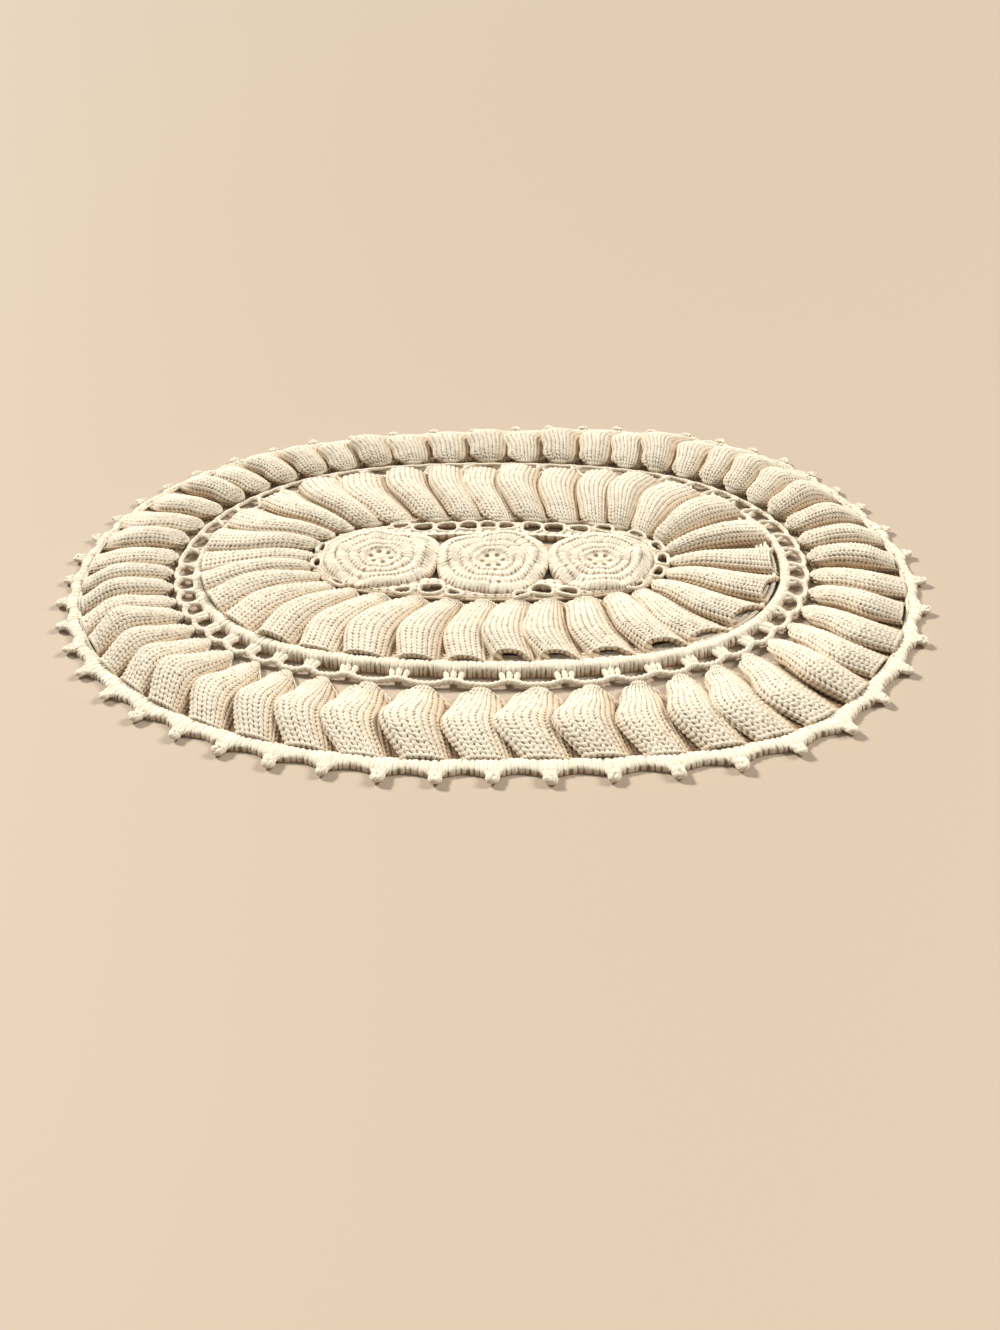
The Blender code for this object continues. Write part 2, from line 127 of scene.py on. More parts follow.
def walk(steps):
    """How far each point lies along a line, from the lengths between its points."""
    return np.concatenate(([0.0], np.cumsum(steps)))


def circle(count):
    """Angles evenly round a circle."""
    return 2 * math.pi * np.arange(count) / count


def ring_point(angle, reach):
    """The plan's x and y at angles round it, a reach out from its middle oval."""
    c, s = np.cos(angle), np.sin(angle)
    size = np.sqrt((OVAL_HALF_LENGTH * c) ** 2 + (OVAL_HALF_WIDTH * s) ** 2)
    return OVAL_HALF_LENGTH**2 * c / size + reach * c, OVAL_HALF_WIDTH**2 * s / size + reach * s


def ring_line(angle, reach, height):
    """Points at angles round the plan, a reach out from its middle oval and at a height above the table."""
    return np.stack(np.broadcast_arrays(*ring_point(angle, reach), height), -1)


def ring_table(measure):
    angles = np.linspace(0.0, 2 * math.pi, TRACE_STEPS + 1)
    x, y = ring_point(angles, measure)
    walked = walk(np.hypot(np.diff(x), np.diff(y)))
    return walked / walked[-1], angles, walked[-1]


TABLES = {measure: ring_table(measure) for measure in (INNER_MEASURE, OUTER_MEASURE)}


def angle_of(share, measure):
    """The plan's angle at a share of the way round a measure."""
    shares, angles, _ = TABLES[measure]
    turns = np.floor(share)
    return 2 * math.pi * turns + np.interp(share - turns, shares, angles)


def frontness(angle):
    """1 in front, a half at the sides and 0 at the back."""
    return 0.5 - 0.5 * np.sin(angle)


def edge_stray(share):
    """How far the doily's edge strays from an even oval."""
    shares, shifts = np.array(EDGE_STRAY).T
    return np.interp(np.mod(share, 1.0), shares, shifts)


# Painted shade: heights between which the cotton of a piece goes from its darkest painted shade to its plain colour.
ROSE_SHADE_RANGE = (0.9, 3.9)
SHADE_RANGES = {"centre_net": (0.8, 3.0), "cord_band": (-0.6, 2.6), "edging": (-0.6, 1.7), "mesh_round": (0.3, 2.0)}
# Painted shade on a pleat deepens from this share of its crest's height, over this much of it and by this power, and
# its underside gets this much of it.
SHADE_FROM, SHADE_OVER, SHADE_POWER = 0.96, 0.78, 1.1
UNDERSIDE_SHADE = 0.66
# The least height of any top, which keeps it off its underside.
LEAST_HEIGHT = 0.02


# ---- meshes
def placed(name, data):
    made = bpy.data.objects.new(name, data)
    bpy.context.scene.collection.objects.link(made)
    return made


class Builder:
    """Gathers several surfaces, in millimetres, into one piece."""

    def __init__(self):
        self.points, self.folds, self.faces, self.count = [], [], [], 0

    def add(self, points, faces, uv, turn, folds=np.nan):
        """uv holds each point's rib and stitch, and the last argument how much painted shade each point gets; turn is
        the ribs round the surface.
        """
        points, uv = points.reshape(-1, 3), uv.reshape(-1, 2)
        for face in faces:
            corner = uv[face]
            corner[..., 0] += turn * np.round((corner[:, :1, 0] - corner[..., 0]) / turn)
            self.faces.append((face + self.count, corner))
        self.points.append(points)
        self.folds.append(np.broadcast_to(folds, len(points)))
        self.count += len(points)

    def make(self, name, node):
        """The piece of that name in place of a node, with its quads before its triangles."""
        points = (np.concatenate(self.points) + SHIFT) * 0.001
        faces = sorted(self.faces, key=lambda face: -face[0].shape[1])
        loops = np.concatenate([face.ravel() for face, _ in faces]).astype(np.int32)
        uvs = np.concatenate([corner.ravel() for _, corner in faces]).astype(np.float32)
        sizes = np.concatenate([np.full(len(face), face.shape[1]) for face, _ in faces])
        mesh = bpy.data.meshes.new(name)
        mesh.vertices.add(len(points))
        mesh.vertices.foreach_set("co", points.astype(np.float32).ravel())
        mesh.loops.add(len(loops))
        mesh.loops.foreach_set("vertex_index", loops)
        mesh.polygons.add(len(sizes))
        mesh.polygons.foreach_set("loop_start", walk(sizes)[:-1].astype(np.int32))
        mesh.polygons.foreach_set("use_smooth", np.full(len(sizes), True))
        mesh.update(calc_edges=True)
        mesh.uv_layers.new(name="stitch").data.foreach_set("uv", uvs)
        # Painted shade: the cloth is coloured darker down in each fold and low place, where shade falls.
        low, high = SHADE_RANGES.get(node, ROSE_SHADE_RANGE)
        folds = np.concatenate(self.folds)
        folds = np.where(np.isnan(folds), (high - points[:, 2] * 1000) / (high - low), folds)
        fold = mesh.attributes.new("fold", "FLOAT", "POINT")
        fold.data.foreach_set("value", np.clip(folds, 0, 1).astype(np.float32))
        mesh.materials.append(COTTON)
        made = placed(name, mesh)
        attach(made, "root")
        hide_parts(node)
        return made


def strip_faces(first, second, columns, closed, flip=False):
    """Quads between two rows of points that begin at first and second; closed joins their last column to the first."""
    column = np.arange(columns if closed else columns - 1)
    ahead = (column + 1) % columns
    a, b, c, d = first + column, first + ahead, second + ahead, second + column
    return np.stack((a, b, c, d) if flip else (a, d, c, b), -1)


def grid_faces(rows, columns, closed, start=0, flip=False):
    """Quads of a rows x columns grid of points."""
    starts = start + np.arange(rows) * columns
    return np.concatenate([strip_faces(*pair, columns, closed, flip) for pair in zip(starts, starts[1:])])


def skin_faces(rows, under_rows, columns, closed):
    """Quads of a top grid, of the underside grid whose points follow it, and of the two long edges between them."""
    start, end = rows * columns, (rows + under_rows) * columns
    return [
        grid_faces(rows, columns, closed),
        grid_faces(under_rows, columns, closed, start, flip=True),
        strip_faces(0, start, columns, closed, flip=True),
        strip_faces(start - columns, end - columns, columns, closed),
    ]


def grid_uv(across, along):
    """Stitch coordinates of a grid: ribs across it and stitches along it."""
    return np.stack(np.broadcast_arrays(across, along), -1)


def unit(vectors):
    return vectors / np.maximum(np.linalg.norm(vectors, axis=-1, keepdims=True), 1e-9)


def normals_of(grid):
    """Outward normals of a closed ring of points, rows x columns x 3: columns run anticlockwise and rows outwards."""
    across = np.roll(grid, -1, 1) - np.roll(grid, 1, 1)
    return unit(np.cross(np.gradient(grid, axis=0), across))


def wave(phase, power=0.6):
    """One rounded bump for each unit of phase, with a sharp crease between."""
    return np.abs(np.sin(math.pi * phase)) ** power


def hermite(knots, values, at):
    """Each column's smooth curve through its values at the knots, read at other places."""
    gaps = np.diff(knots)[:, None]
    steps = np.diff(values, axis=0) / gaps
    between = (steps[:-1] * gaps[1:] + steps[1:] * gaps[:-1]) / (gaps[:-1] + gaps[1:])
    slopes = np.concatenate((steps[:1], between, steps[-1:]))
    piece = np.clip(np.searchsorted(knots, at, side="right") - 1, 0, len(gaps) - 1)
    gap = gaps[piece, 0]
    t = (at - knots[piece]) / gap
    column = np.arange(values.shape[1])
    p0, p1 = values[piece, column], values[piece + 1, column]
    m0, m1 = slopes[piece, column] * gap, slopes[piece + 1, column] * gap
    t2, t3 = t * t, t**3
    return (2 * t3 - 3 * t2 + 1) * p0 + (t3 - 2 * t2 + t) * m0 + (3 * t2 - 2 * t3) * p1 + (t3 - t2) * m1


def spline_across(values, at, period):
    """A closed smooth curve through the columns of values; period is what one turn adds."""
    columns = values.shape[1]
    low = np.floor(at).astype(int)
    t = at - low

    def column(k):
        return values[:, k % columns] + period * (k // columns)

    p0, p1, p2, p3 = column(low - 1), column(low), column(low + 1), column(low + 2)
    return 0.5 * (
        2 * p1 + (p2 - p0) * t + (2 * p0 - 5 * p1 + 4 * p2 - p3) * t**2 + (3 * p1 - p0 - 3 * p2 + p3) * t**3
    )


# ---- pleats
def outer_ends(share):
    """How far the outer pleats' ends stray: at the sides and the back they bulge over the edging."""
    return edge_stray(share) + OUTER_BULGE * (1 - frontness(angle_of(share, OUTER_MEASURE)))


def inner_ends(share):
    """How far the inner pleats' ends bulge over the band."""
    return INNER_BULGE * (1 - frontness(angle_of(share, INNER_MEASURE)))


def pleat_lean(share):
    """How far a pleat leans: one way round half of the ring and the other way round the rest, from -1 to 1."""
    return max(-1.0, min(1.0, TURNOVER_SHARPNESS * math.sin(2 * math.pi * (share - TURNOVER_SHARE))))


def pleat_section(lean):
    """A pleat's section between standing and fallen: across and up for its top, then for its underside."""
    fallen = FALLEN
    if lean > 0:
        fallen = np.concatenate((fallen[:1], fallen[:0:-1]))
        fallen[:, (0, 2)] *= -1
        fallen[0, (0, 2)] -= 1.0
    return STANDING + abs(lean) * (fallen - STANDING)


def drawn_in(section, share):
    """The section with its columns nearer its middle, apart from the first, where it meets the last pleat."""
    section = section * (share, 1.0, share, 1.0)
    section[0, (0, 2)] /= share
    return section


def narrowed_ridge(section, share):
    """The section with only its raised columns drawn together, about their own middle."""
    ridge = section[:, 1] > 0.5
    middle = section[ridge, 0].mean()
    for side in (0, 2):
        section[ridge, side] = middle + (section[ridge, side] - middle) * share
    return section


def control_rows(spacing, length, crest, sections, set_back):
    """Place, share along and height of every column of every pleat, for the top and the underside."""
    numbers, _, outer_shares = np.array(spacing).T
    pleats = int(numbers[-1])
    outer_ring = crest == OUTER_CREST
    knots = [0.0] + [row[0] for row in sections]
    top, under = [], []
    for row, knot in enumerate(knots):
        top_row, under_row = [], []
        for pleat in range(pleats):
            middle = np.interp(pleat + 0.5, numbers, outer_shares) % 1.0
            front = max(0.0, math.cos(2 * math.pi * (middle - FRONT_SHARE)))
            own_crest = crest * (1 + CREST_STRAY * math.sin(2.4 * pleat) - CREST_STRAY / 2)
            own_lean = pleat_lean(middle) * (1 - LEAN_STRAY * (0.5 + 0.5 * math.sin(1.7 * pleat + 0.5)))
            if row == 0:
                across, up, back = POINTED_END.T
                section = np.column_stack((across, up, across, np.zeros(len(across))))
                height = crest * (1 - POINT_LOWERED * front)
                stand_back = back * (set_back + FRONT_SET_BACK * front * outer_ring)
            else:
                # The pleats in front rise slowly from their points, and the others puff up at once.
                _, crest_share, lean_share, stand_back = sections[row - 1]
                section = pleat_section(own_lean * lean_share)
                if outer_ring and row < len(FRONT_NARROWED):
                    section = narrowed_ridge(section, 1 - FRONT_NARROWED[row] * front)
                height = own_crest * crest_share * (1 - FRONT_LOWERED[row - 1] * front)
                stand_back = stand_back * (POINTED_END[:, 2] > 0.5)
                if outer_ring and knot == 1.0:
                    # The outer ends draw in, and leave the edging bare between them.
                    section = drawn_in(section, OUTER_DRAWN)
                    short = (ENDS_SHORT + ENDS_SHORT * math.sin(2.9 * pleat)) * (1 - front)
                    stand_back = -short * (POINTED_END[:, 2] < 0.5)
                elif knot == 1.0:
                    section = drawn_in(section, 1 - INNER_DRAWN * front)
                    mouth = MOUTH if own_lean <= 0 else np.append(MOUTH[:1], MOUTH[:0:-1])
                    stand_back = mouth * np.interp(middle, MOUTH_SHARES, MOUTH_OPEN)
            share = knot + stand_back / length + 0 * section[:, 0]
            top_row.append(np.column_stack((pleat + 0.5 + section[:, 0], share, section[:, 1] * height)))
            under_row.append(np.column_stack((pleat + 0.5 + section[:, 2], share, section[:, 3] * height)))
        top.append(np.concatenate(top_row))
        under.append(np.concatenate(under_row))
    return np.array(knots), np.array(top), np.array(under), pleats


def pleat_surface(control, knots, at_columns, along, pleats, spacing, measure, reach, outer_edge):
    """Points of the strip at fine columns, and at shares along it for each row."""
    numbers, inner_shares, outer_shares = np.array(spacing).T
    fine = [spline_across(control[:, :, k], at_columns, period) for k, period in enumerate((pleats, 0.0, 0.0))]
    place, share, height = (hermite(knots, values, along) for values in fine)
    place = place % pleats
    outer_share = np.interp(place, numbers, outer_shares)
    inner_share = np.interp(place, numbers, inner_shares)
    x0, y0 = ring_point(angle_of(inner_share, measure), reach[0])
    x1, y1 = ring_point(angle_of(outer_share, measure), reach[1] + outer_edge(outer_share))
    return np.stack((x0 + (x1 - x0) * share, y0 + (y1 - y0) * share, np.maximum(height, 0.0)), -1)


RIB_PITCH, STITCH_PITCH = 2.15, 1.9
ACROSS_STITCH, ALONG_STITCH, UNDER_STITCHES = 3, 3, 2
RELIEF, SUNK, DEEPEST = 0.74, 0.10, -0.50
SLANT, UNEVEN_START, UNEVEN_SIZE = 0.55, 0.10, 0.14
# The row of sections round which ribs are counted, and that row's share of the ring's measure.
WIDEST_ROW, WIDEST_SHARES = 3, {INNER_MEASURE: 0.78, OUTER_MEASURE: 0.86}
HALVES = 2


def stitch_columns(control, pleats, measure_length):
    """Fine column places, 3 to a rib, with as many even ribs in each pleat as its cloth holds."""
    columns = control.shape[1]
    per_pleat = columns // pleats
    samples = 24
    at = np.arange(columns * samples) / samples
    row = control[WIDEST_ROW : WIDEST_ROW + 1]
    place = spline_across(row[:, :, 0], at, pleats)[0]
    height = spline_across(row[:, :, 2], at, 0.0)[0]
    pitch = measure_length / pleats
    steps = np.hypot(np.diff(np.append(place, place[0] + pleats)) * pitch, np.diff(np.append(height, height[0])))
    walked = walk(steps)
    places = np.append(at, columns)
    out, ribs = [], 0
    for pleat in range(pleats):
        low, high = walked[pleat * per_pleat * samples], walked[(pleat + 1) * per_pleat * samples]
        count = max(2, int(round((high - low) / RIB_PITCH / 2)) * 2)
        wanted = low + (high - low) * np.arange(count * ACROSS_STITCH) / (count * ACROSS_STITCH)
        out.append(np.interp(wanted, walked, places))
        ribs += count
    return np.concatenate(out), ribs


def stitched(points, uv, sizes):
    """Raises each stitch on a surface; sizes holds how full the stitches of each rib are."""
    rib, stitch = np.moveaxis(np.int64(uv), -1, 0)
    u, v = np.moveaxis(np.abs(2 * (uv % 1) - 1), -1, 0)
    relief = RELIEF * sizes[stitch, rib] * (1 - 0.78 * u**2.2 - 0.62 * v**2.2) - SUNK
    return points + normals_of(points) * np.maximum(relief, DEEPEST)[..., None]


def seam_faces(columns, under_rows, under_start, side, flip):
    """Triangles that close one cut edge between the top's rows and the underside's fewer ones."""
    per_row = UNDER_STITCHES * ALONG_STITCH
    triangles = []
    for row in range(under_rows - 1):
        near = under_start + row * columns + side
        far = near + columns
        half = row * per_row + per_row // 2
        for i in range(row * per_row, (row + 1) * per_row):
            triangles.append((i * columns + side, near if i < half else far, (i + 1) * columns + side))
        triangles.append((half * columns + side, near, far))
    triangles = np.array(triangles)
    return triangles[:, ::-1] if flip else triangles


def stitch_offsets(rib_phase, ribs, random):
    """How far on the stitches of each column start: they slant, and lie half a stitch on from the next rib's."""
    rib = np.int64(rib_phase)
    starts = 0.5 * (rib % 2) + random.uniform(-UNEVEN_START, UNEVEN_START, ribs + 1)[rib]
    lean = np.where(rib % 2 == 0, 1, 0.35) * (rib_phase % 1 - 0.5) * SLANT
    edge = rib_phase % 1 == 0
    lean[edge] = 0
    offset = starts + lean
    offset[edge] = 0.5 * (np.roll(offset, 1)[edge] + np.roll(offset, -1)[edge])
    return offset


def pleated_piece(name, node, spacing, measure, reach, outer_edge, crest, sections, set_back):
    """The pleated strip, cut at two valleys into halves so that each is a mesh of a fair size."""
    length = reach[1] - reach[0]
    knots, top, under, pleats = control_rows(spacing, length, crest, sections, set_back)
    per_pleat = top.shape[1] // pleats
    columns, ribs = stitch_columns(top, pleats, TABLES[measure][2] * WIDEST_SHARES[measure])
    stitches = int(round(length / STITCH_PITCH / 2)) * 2
    rows = stitches * ALONG_STITCH + 1
    rib_phase = np.arange(len(columns)) / ACROSS_STITCH
    random = np.random.default_rng(len(columns))
    offset = stitch_offsets(rib_phase, ribs, random)

    def surface(control, along):
        return pleat_surface(control, knots, columns, along, pleats, spacing, measure, reach, outer_edge)

    base = np.arange(rows)[:, None] / (rows - 1)
    room = np.clip(np.minimum(base, 1 - base) * stitches / 1.5, 0, 1)
    points = surface(top, np.clip(base + (offset - 0.25) / stitches * room, 0, 1))
    # For the painted shade, a point's depth is counted from the crest of its own pleat at that distance along it.
    deep = np.ones(points.shape[:2])
    for pleat in range(pleats):
        own = np.int64(columns // per_pleat) == pleat
        deep[:, own] = points[:, own, 2] / np.maximum(points[:, own, 2].max(1, keepdims=True), 1.0)
    deep = np.clip((SHADE_FROM - deep) / SHADE_OVER, 0, 1) ** SHADE_POWER
    uv = grid_uv(rib_phase, np.arange(rows)[:, None] / ALONG_STITCH)
    points = stitched(points, uv, random.uniform(1 - UNEVEN_SIZE, 1 + UNEVEN_SIZE, (stitches + 1, ribs + 1)))
    points[..., 2] = np.maximum(points[..., 2], LEAST_HEIGHT)
    # The underside is plainer: one row of points for two stitches.
    under_rows = stitches // UNDER_STITCHES + 1
    below = surface(under, np.arange(under_rows)[:, None] / (under_rows - 1))
    hollow = 0.30 * (1 - wave(rib_phase, 0.7)) * np.clip(below[..., 2] / 0.5, 0, 1)
    below = below + normals_of(below) * hollow[..., None]
    below[..., 2] = np.maximum(below[..., 2], 0.0)
    points = np.concatenate((points, below))
    # The underside gets an even painted shade.
    deep = np.concatenate((deep, np.full(below.shape[:2], UNDERSIDE_SHADE)))
    uv = np.concatenate((uv, grid_uv(rib_phase, np.arange(under_rows)[:, None] * float(UNDER_STITCHES))))
    cuts = [int(np.searchsorted(columns, round(pleats * half / HALVES) * per_pleat)) for half in range(HALVES)]
    cuts.append(len(columns))
    made = []
    for half in range(HALVES):
        pick = np.arange(cuts[half], cuts[half + 1] + 1) % len(columns)
        width = len(pick)
        faces = skin_faces(rows, under_rows, width, False)
        for side, flip in ((0, False), (width - 1, True)):
            faces.append(seam_faces(width, under_rows, rows * width, side, flip))
        builder = Builder()
        builder.add(points[:, pick], faces, uv[:, pick], ribs, deep[:, pick].ravel())
        made.append(builder.make(f"{name}_{half + 1}", node))
    return made


# ---- cords and bars
PLIES = 2


def tube(path, radius, around, closed, twist, lobes=0.30, bead=None):
    """A two-ply twisted cord along millimetre points; returns what Builder.add takes.

    The plies come round again every twist millimetres, and lobes is how deep the groove between them is. A bead is
    the length of one stitch worked over the cord.
    """
    if closed:
        tangent = np.roll(path, -1, 0) - np.roll(path, 1, 0)
        steps = np.linalg.norm(np.roll(path, -1, 0) - path, axis=1)
        walked = walk(steps)[:-1]
        total = steps.sum()
        twist = total / max(1, round(total / twist))
    else:
        tangent = np.gradient(path, axis=0)
        walked = walk(np.linalg.norm(np.diff(path, axis=0), axis=1))
    tangent = unit(tangent)
    side = unit(np.cross((0, 0, 1.0), tangent))
    up = np.cross(tangent, side)
    theta = circle(around)
    ply = np.abs(np.cos(theta + math.pi * walked[:, None] / twist))
    swell = 1 - lobes + lobes * ply
    sizes = np.broadcast_to(radius, len(path))[:, None] * swell
    if bead is not None:
        sizes = sizes * (0.80 + 0.20 * wave(walked / bead, 0.8))[:, None]
    ring = (
        path[:, None]
        + side[:, None] * (np.cos(theta) * sizes)[..., None]
        + up[:, None] * (np.sin(theta) * sizes)[..., None]
    )
    rows = len(path)
    faces = [grid_faces(rows, around, True)]
    ply_phase = np.arange(around) * PLIES / around + walked[:, None] / twist + 0.5
    uv = grid_uv(ply_phase, 0.5).reshape(-1, 2)
    last = (rows - 1) * around
    if closed:
        faces.append(strip_faces(last, 0, around, True))
        points = ring.reshape(-1, 3)
    else:
        points = np.concatenate((ring.reshape(-1, 3), path[:1], path[-1:]))
        column = np.arange(around)
        ahead = (column + 1) % around
        first, end = rows * around, rows * around + 1
        faces.append(np.stack((np.full(around, first), column, ahead), -1))
        faces.append(np.stack((np.full(around, end), last + ahead, last + column), -1))
        uv = np.concatenate((uv, ((0.5, 0.5), (0.5, 0.5))))
    return points, faces, uv, float(PLIES)


BAR_PITCH, BAR_STEPS, BAR_ROWS, BAR_RELIEF = 1.75, 4, 11, 0.80
BAR_SECTION = np.linspace(-math.pi / 2, math.pi / 2, BAR_ROWS)[:, None]


def bar_ring(angles, reach, height, bars):
    """Begins a piece with a ring of radial bars: reach and height hold a row for each line round it, outwards."""
    grid = ring_line(angles, reach, height)
    uneven = bars + 0.16 * np.sin(2.33 * bars) + 0.10 * np.sin(5.1 * bars)
    across = np.linspace(0.0, 1.0, BAR_ROWS)[:, None]
    fade = np.sin(0.12 + across * (math.pi - 0.24)) ** 0.5
    grid = grid + normals_of(grid) * (BAR_RELIEF * (wave(uneven) - 1.0) * fade)[..., None]
    grid[..., 2] = np.maximum(grid[..., 2], LEAST_HEIGHT)
    uv = grid_uv(uneven, across)
    # The flat underside has three rows.
    under = [0, BAR_ROWS // 2, -1]
    points = np.concatenate((grid, grid[under] * (1, 1, 0)))
    faces = skin_faces(BAR_ROWS, len(under), len(bars), True)
    builder = Builder()
    builder.add(points, faces, np.concatenate((uv, uv[under])), len(bars) // BAR_STEPS)
    return builder


def band_slimness(front):
    """The band is fullest in front and slimmest at the back."""
    return 0.52 + 0.48 * front**1.6


def band_core(slim):
    """The reach of the band's middle, which lies further out where it is slim."""
    return 0.5 * (BAND_IN + BAND_OUT) + 0.2 * (1 - slim) * (BAND_OUT - BAND_IN)


def hold(place, power):
    """1 at whole numbers of place, and 0 halfway between them."""
    return (0.5 + 0.5 * np.cos(2 * math.pi * place)) ** power


def cord_band():
    """The cord under its bars, and the rows of stitches inside it."""
    step = np.arange(int(round(TABLES[INNER_MEASURE][2] / BAR_PITCH)) * BAR_STEPS)
    angles = angle_of(step / len(step), INNER_MEASURE)
    slim = band_slimness(frontness(angles))
    bulge = np.sign(np.sin(BAR_SECTION)) * np.abs(np.sin(BAR_SECTION)) ** 0.8
    # The cord is drawn outwards where the mesh holds it, between the points of the outer pleats.
    numbers, inner_shares, _ = np.array(OUTER_SPACING).T
    fine = np.arange(4001) / 4000
    outer_share = np.interp(angles, angle_of(fine, OUTER_MEASURE), fine)
    place = np.interp(outer_share + (outer_share < inner_shares[0]), inner_shares, numbers)
    reach = band_core(slim) + slim * (BAND_OUT - BAND_IN) / 2 * bulge + (hold(place, 2) - 0.3) * np.clip(bulge, 0, 1)
    height = 4.75 * slim * np.cos(BAR_SECTION) ** 0.62 + 0.05
    builder = bar_ring(angles, reach, height, step / BAR_STEPS)
    # The rows that the inner pleats are worked on show through their open ends.
    angles = angle_of(np.arange(520) / 520, INNER_MEASURE)
    for back, high in ((0.9, 1.9), (2.9, 1.5), (4.8, 1.3)):
        line = ring_line(angles, BAND_IN - back, high)
        builder.add(*tube(line, 1.2, 6, True, twist=2.0, lobes=0.32, bead=1.9))
    return builder.make("band_cord", "cord_band")


def outer_place(place):
    """Share of the outer ring at a place counted in pleats, where the pleats begin."""
    numbers, inner_shares, _ = np.array(OUTER_SPACING).T
    return np.interp(np.mod(place, OUTER_PLEATS), numbers, inner_shares)


def mesh_round():
    """The chain line that the pleats hang from, and the short thick stitches that hold it to the band."""
    builder = Builder()
    places = np.arange(OUTER_PLEATS * 30) / 30
    held = hold(places, 2)
    angles = angle_of(outer_place(places), OUTER_MEASURE)
    line = ring_line(angles, MESH_OUT - 0.9 - 1.3 * held, 1.75 + 0.75 * held + 0.12 * np.sin(11.3 * places))
    builder.add(*tube(line, 1.05 + 0.35 * frontness(angles), 8, True, twist=2.1, lobes=0.36, bead=2.1))
    t = np.linspace(0, 1, 7)
    for post in range(OUTER_PLEATS):
        # In front the stitches stand close together, and elsewhere two pairs of them cross.
        front = frontness(angle_of(outer_place(post), OUTER_MEASURE))
        slim = band_slimness(front)
        inside = band_core(slim) + 0.4 * slim
        if front > 0.80:
            threads, radius = ((-0.17, -0.10, 0.0), (-0.01, 0.0, 0.5), (0.16, 0.11, 0.1)), 1.25
        else:
            threads, radius = ((-0.25, 0.13, 0.0), (0.24, -0.12, 0.7)), 1.1
        for foot, head, high in threads:
            angle = angle_of(outer_place(post + foot + (head - foot) * t), OUTER_MEASURE)
            z = 0.3 + 1.2 * slim + (1.6 - 1.2 * slim) * t**0.6 + (0.35 + high) * np.sin(math.pi * t)
            line = ring_line(angle, inside + (MESH_OUT - 1.9 - inside) * t, z)
            builder.add(*tube(line, radius, 7, False, twist=2.0))
    return builder.make("mesh_threads", "mesh_round")


def picot(builder, number, share):
    """A stitched ring on three short roots. Those in front are full, and those at the back are drawn up small."""
    angle, stray = angle_of(share, OUTER_MEASURE), edge_stray(share)
    outward = np.array((math.cos(angle), math.sin(angle), 0.0))
    sideways = np.array((-math.sin(angle), math.cos(angle), 0.0))
    skew = 0.45 * math.sin(2.7 * number)
    full = 0.60 + 0.40 * frontness(angle) ** 1.3 + 0.06 * math.sin(3.9 * number)
    reach = EDGING_CREST + (PICOT_REACH - 2.3 - EDGING_CREST) * full - 0.9 * (1 - full) + stray
    t = circle(20)
    ring = (
        ring_line(angle, reach, 1.75)
        + outward * (1.30 * full * np.cos(t))[:, None]
        + sideways * (1.15 * full * np.sin(t) + skew * np.cos(t))[:, None]
    )
    ring[:, 2] += 0.25 * np.sin(t + number)
    builder.add(*tube(ring, 1.50 * full, 8, True, twist=1.9, lobes=0.26, bead=1.9))
    t = np.linspace(0, 1, 6)[:, None]
    for offset in (-1.15, 0.0, 1.15):
        root = ring_line(angle, EDGING_CREST - 0.9 + stray, 1.6) + sideways * offset * 1.7
        tip = ring_line(angle, EDGING_CREST - 0.9 + stray, 1.8) + sideways * offset * 0.9 + outward * 2.2 * full
        builder.add(*tube(root + (tip - root) * t, 1.15, 7, False, twist=1.8))


def edging():
    """The scalloped edge with its picots, and the cord that the outer pleats end at."""
    step = np.arange(PICOTS * BARS_PER_PICOT * BAR_STEPS)
    numbers, spaced = np.array(PICOT_SPACING).T
    place = step / BAR_STEPS / BARS_PER_PICOT
    shares = np.interp(place, numbers, spaced)
    scallop = EDGING_DIP + (EDGING_CREST - EDGING_DIP) * hold(place, 0.8)
    inward = 1 - (0.5 + 0.5 * np.sin(BAR_SECTION))
    angles = angle_of(shares, OUTER_MEASURE)
    front = frontness(angles)
    wide = 0.45 + 0.55 * front**1.2
    wander = 0.6 * (1 - front) * np.sin(4.6 * math.pi * place + 0.7)
    reach = scallop - inward * wide * (scallop - EDGING_IN) + (wander + edge_stray(shares))
    height = (2.0 + 0.75 * front) * np.cos(BAR_SECTION) ** 0.5 + 0.05
    builder = bar_ring(angles, reach, height, step / BAR_STEPS)
    shares = np.arange(1400) / 1400
    angles = angle_of(shares, OUTER_MEASURE)
    inset = 5.4 * (0.55 - 0.55 * frontness(angles) ** 1.2)
    line = ring_line(angles, EDGING_IN + 0.35 + inset + edge_stray(shares), 1.15)
    builder.add(*tube(line, 0.75, 6, True, twist=2.1, bead=2.1))
    for number in range(PICOTS):
        picot(builder, number, np.interp(number, numbers, spaced))
    return builder.make("edging_stitches", "edging")


# ---- roses and their net
def rose_radius(angle, half_length, half_width, corners):
    power = np.array(corners)[np.int64(np.floor(angle / (math.pi / 2))) % 4]
    along, across = np.abs(np.cos(angle)) / half_length, np.abs(np.sin(angle)) / half_width
    return (along**power + across**power) ** (-1 / power)


# Rose in section: share of its radius, height, how far the petals rise and fall there.
ROSE_ROWS = (
    (0.00, 4.5, 0.0), (0.06, 4.4, 0.0), (0.10, 3.9, 0.0), (0.17, 3.8, 0.0), (0.24, 4.0, 0.0), (0.27, 4.3, 0.0),
    (0.31, 5.3, 0.0), (0.37, 5.2, 0.0), (0.40, 4.2, 0.0), (0.44, 5.2, 0.1), (0.50, 5.6, 0.1), (0.55, 5.2, 0.2),
    (0.58, 4.2, 0.2), (0.63, 5.2, 0.3), (0.71, 5.8, 0.4), (0.76, 5.4, 0.5), (0.785, 4.7, 0.5), (0.81, 5.4, 0.5),
    (0.88, 5.4, 0.6), (0.94, 4.6, 0.5), (0.985, 3.5, 0.2), (1.00, 2.6, 0.0),
)
ROSE_ANGLES = 288
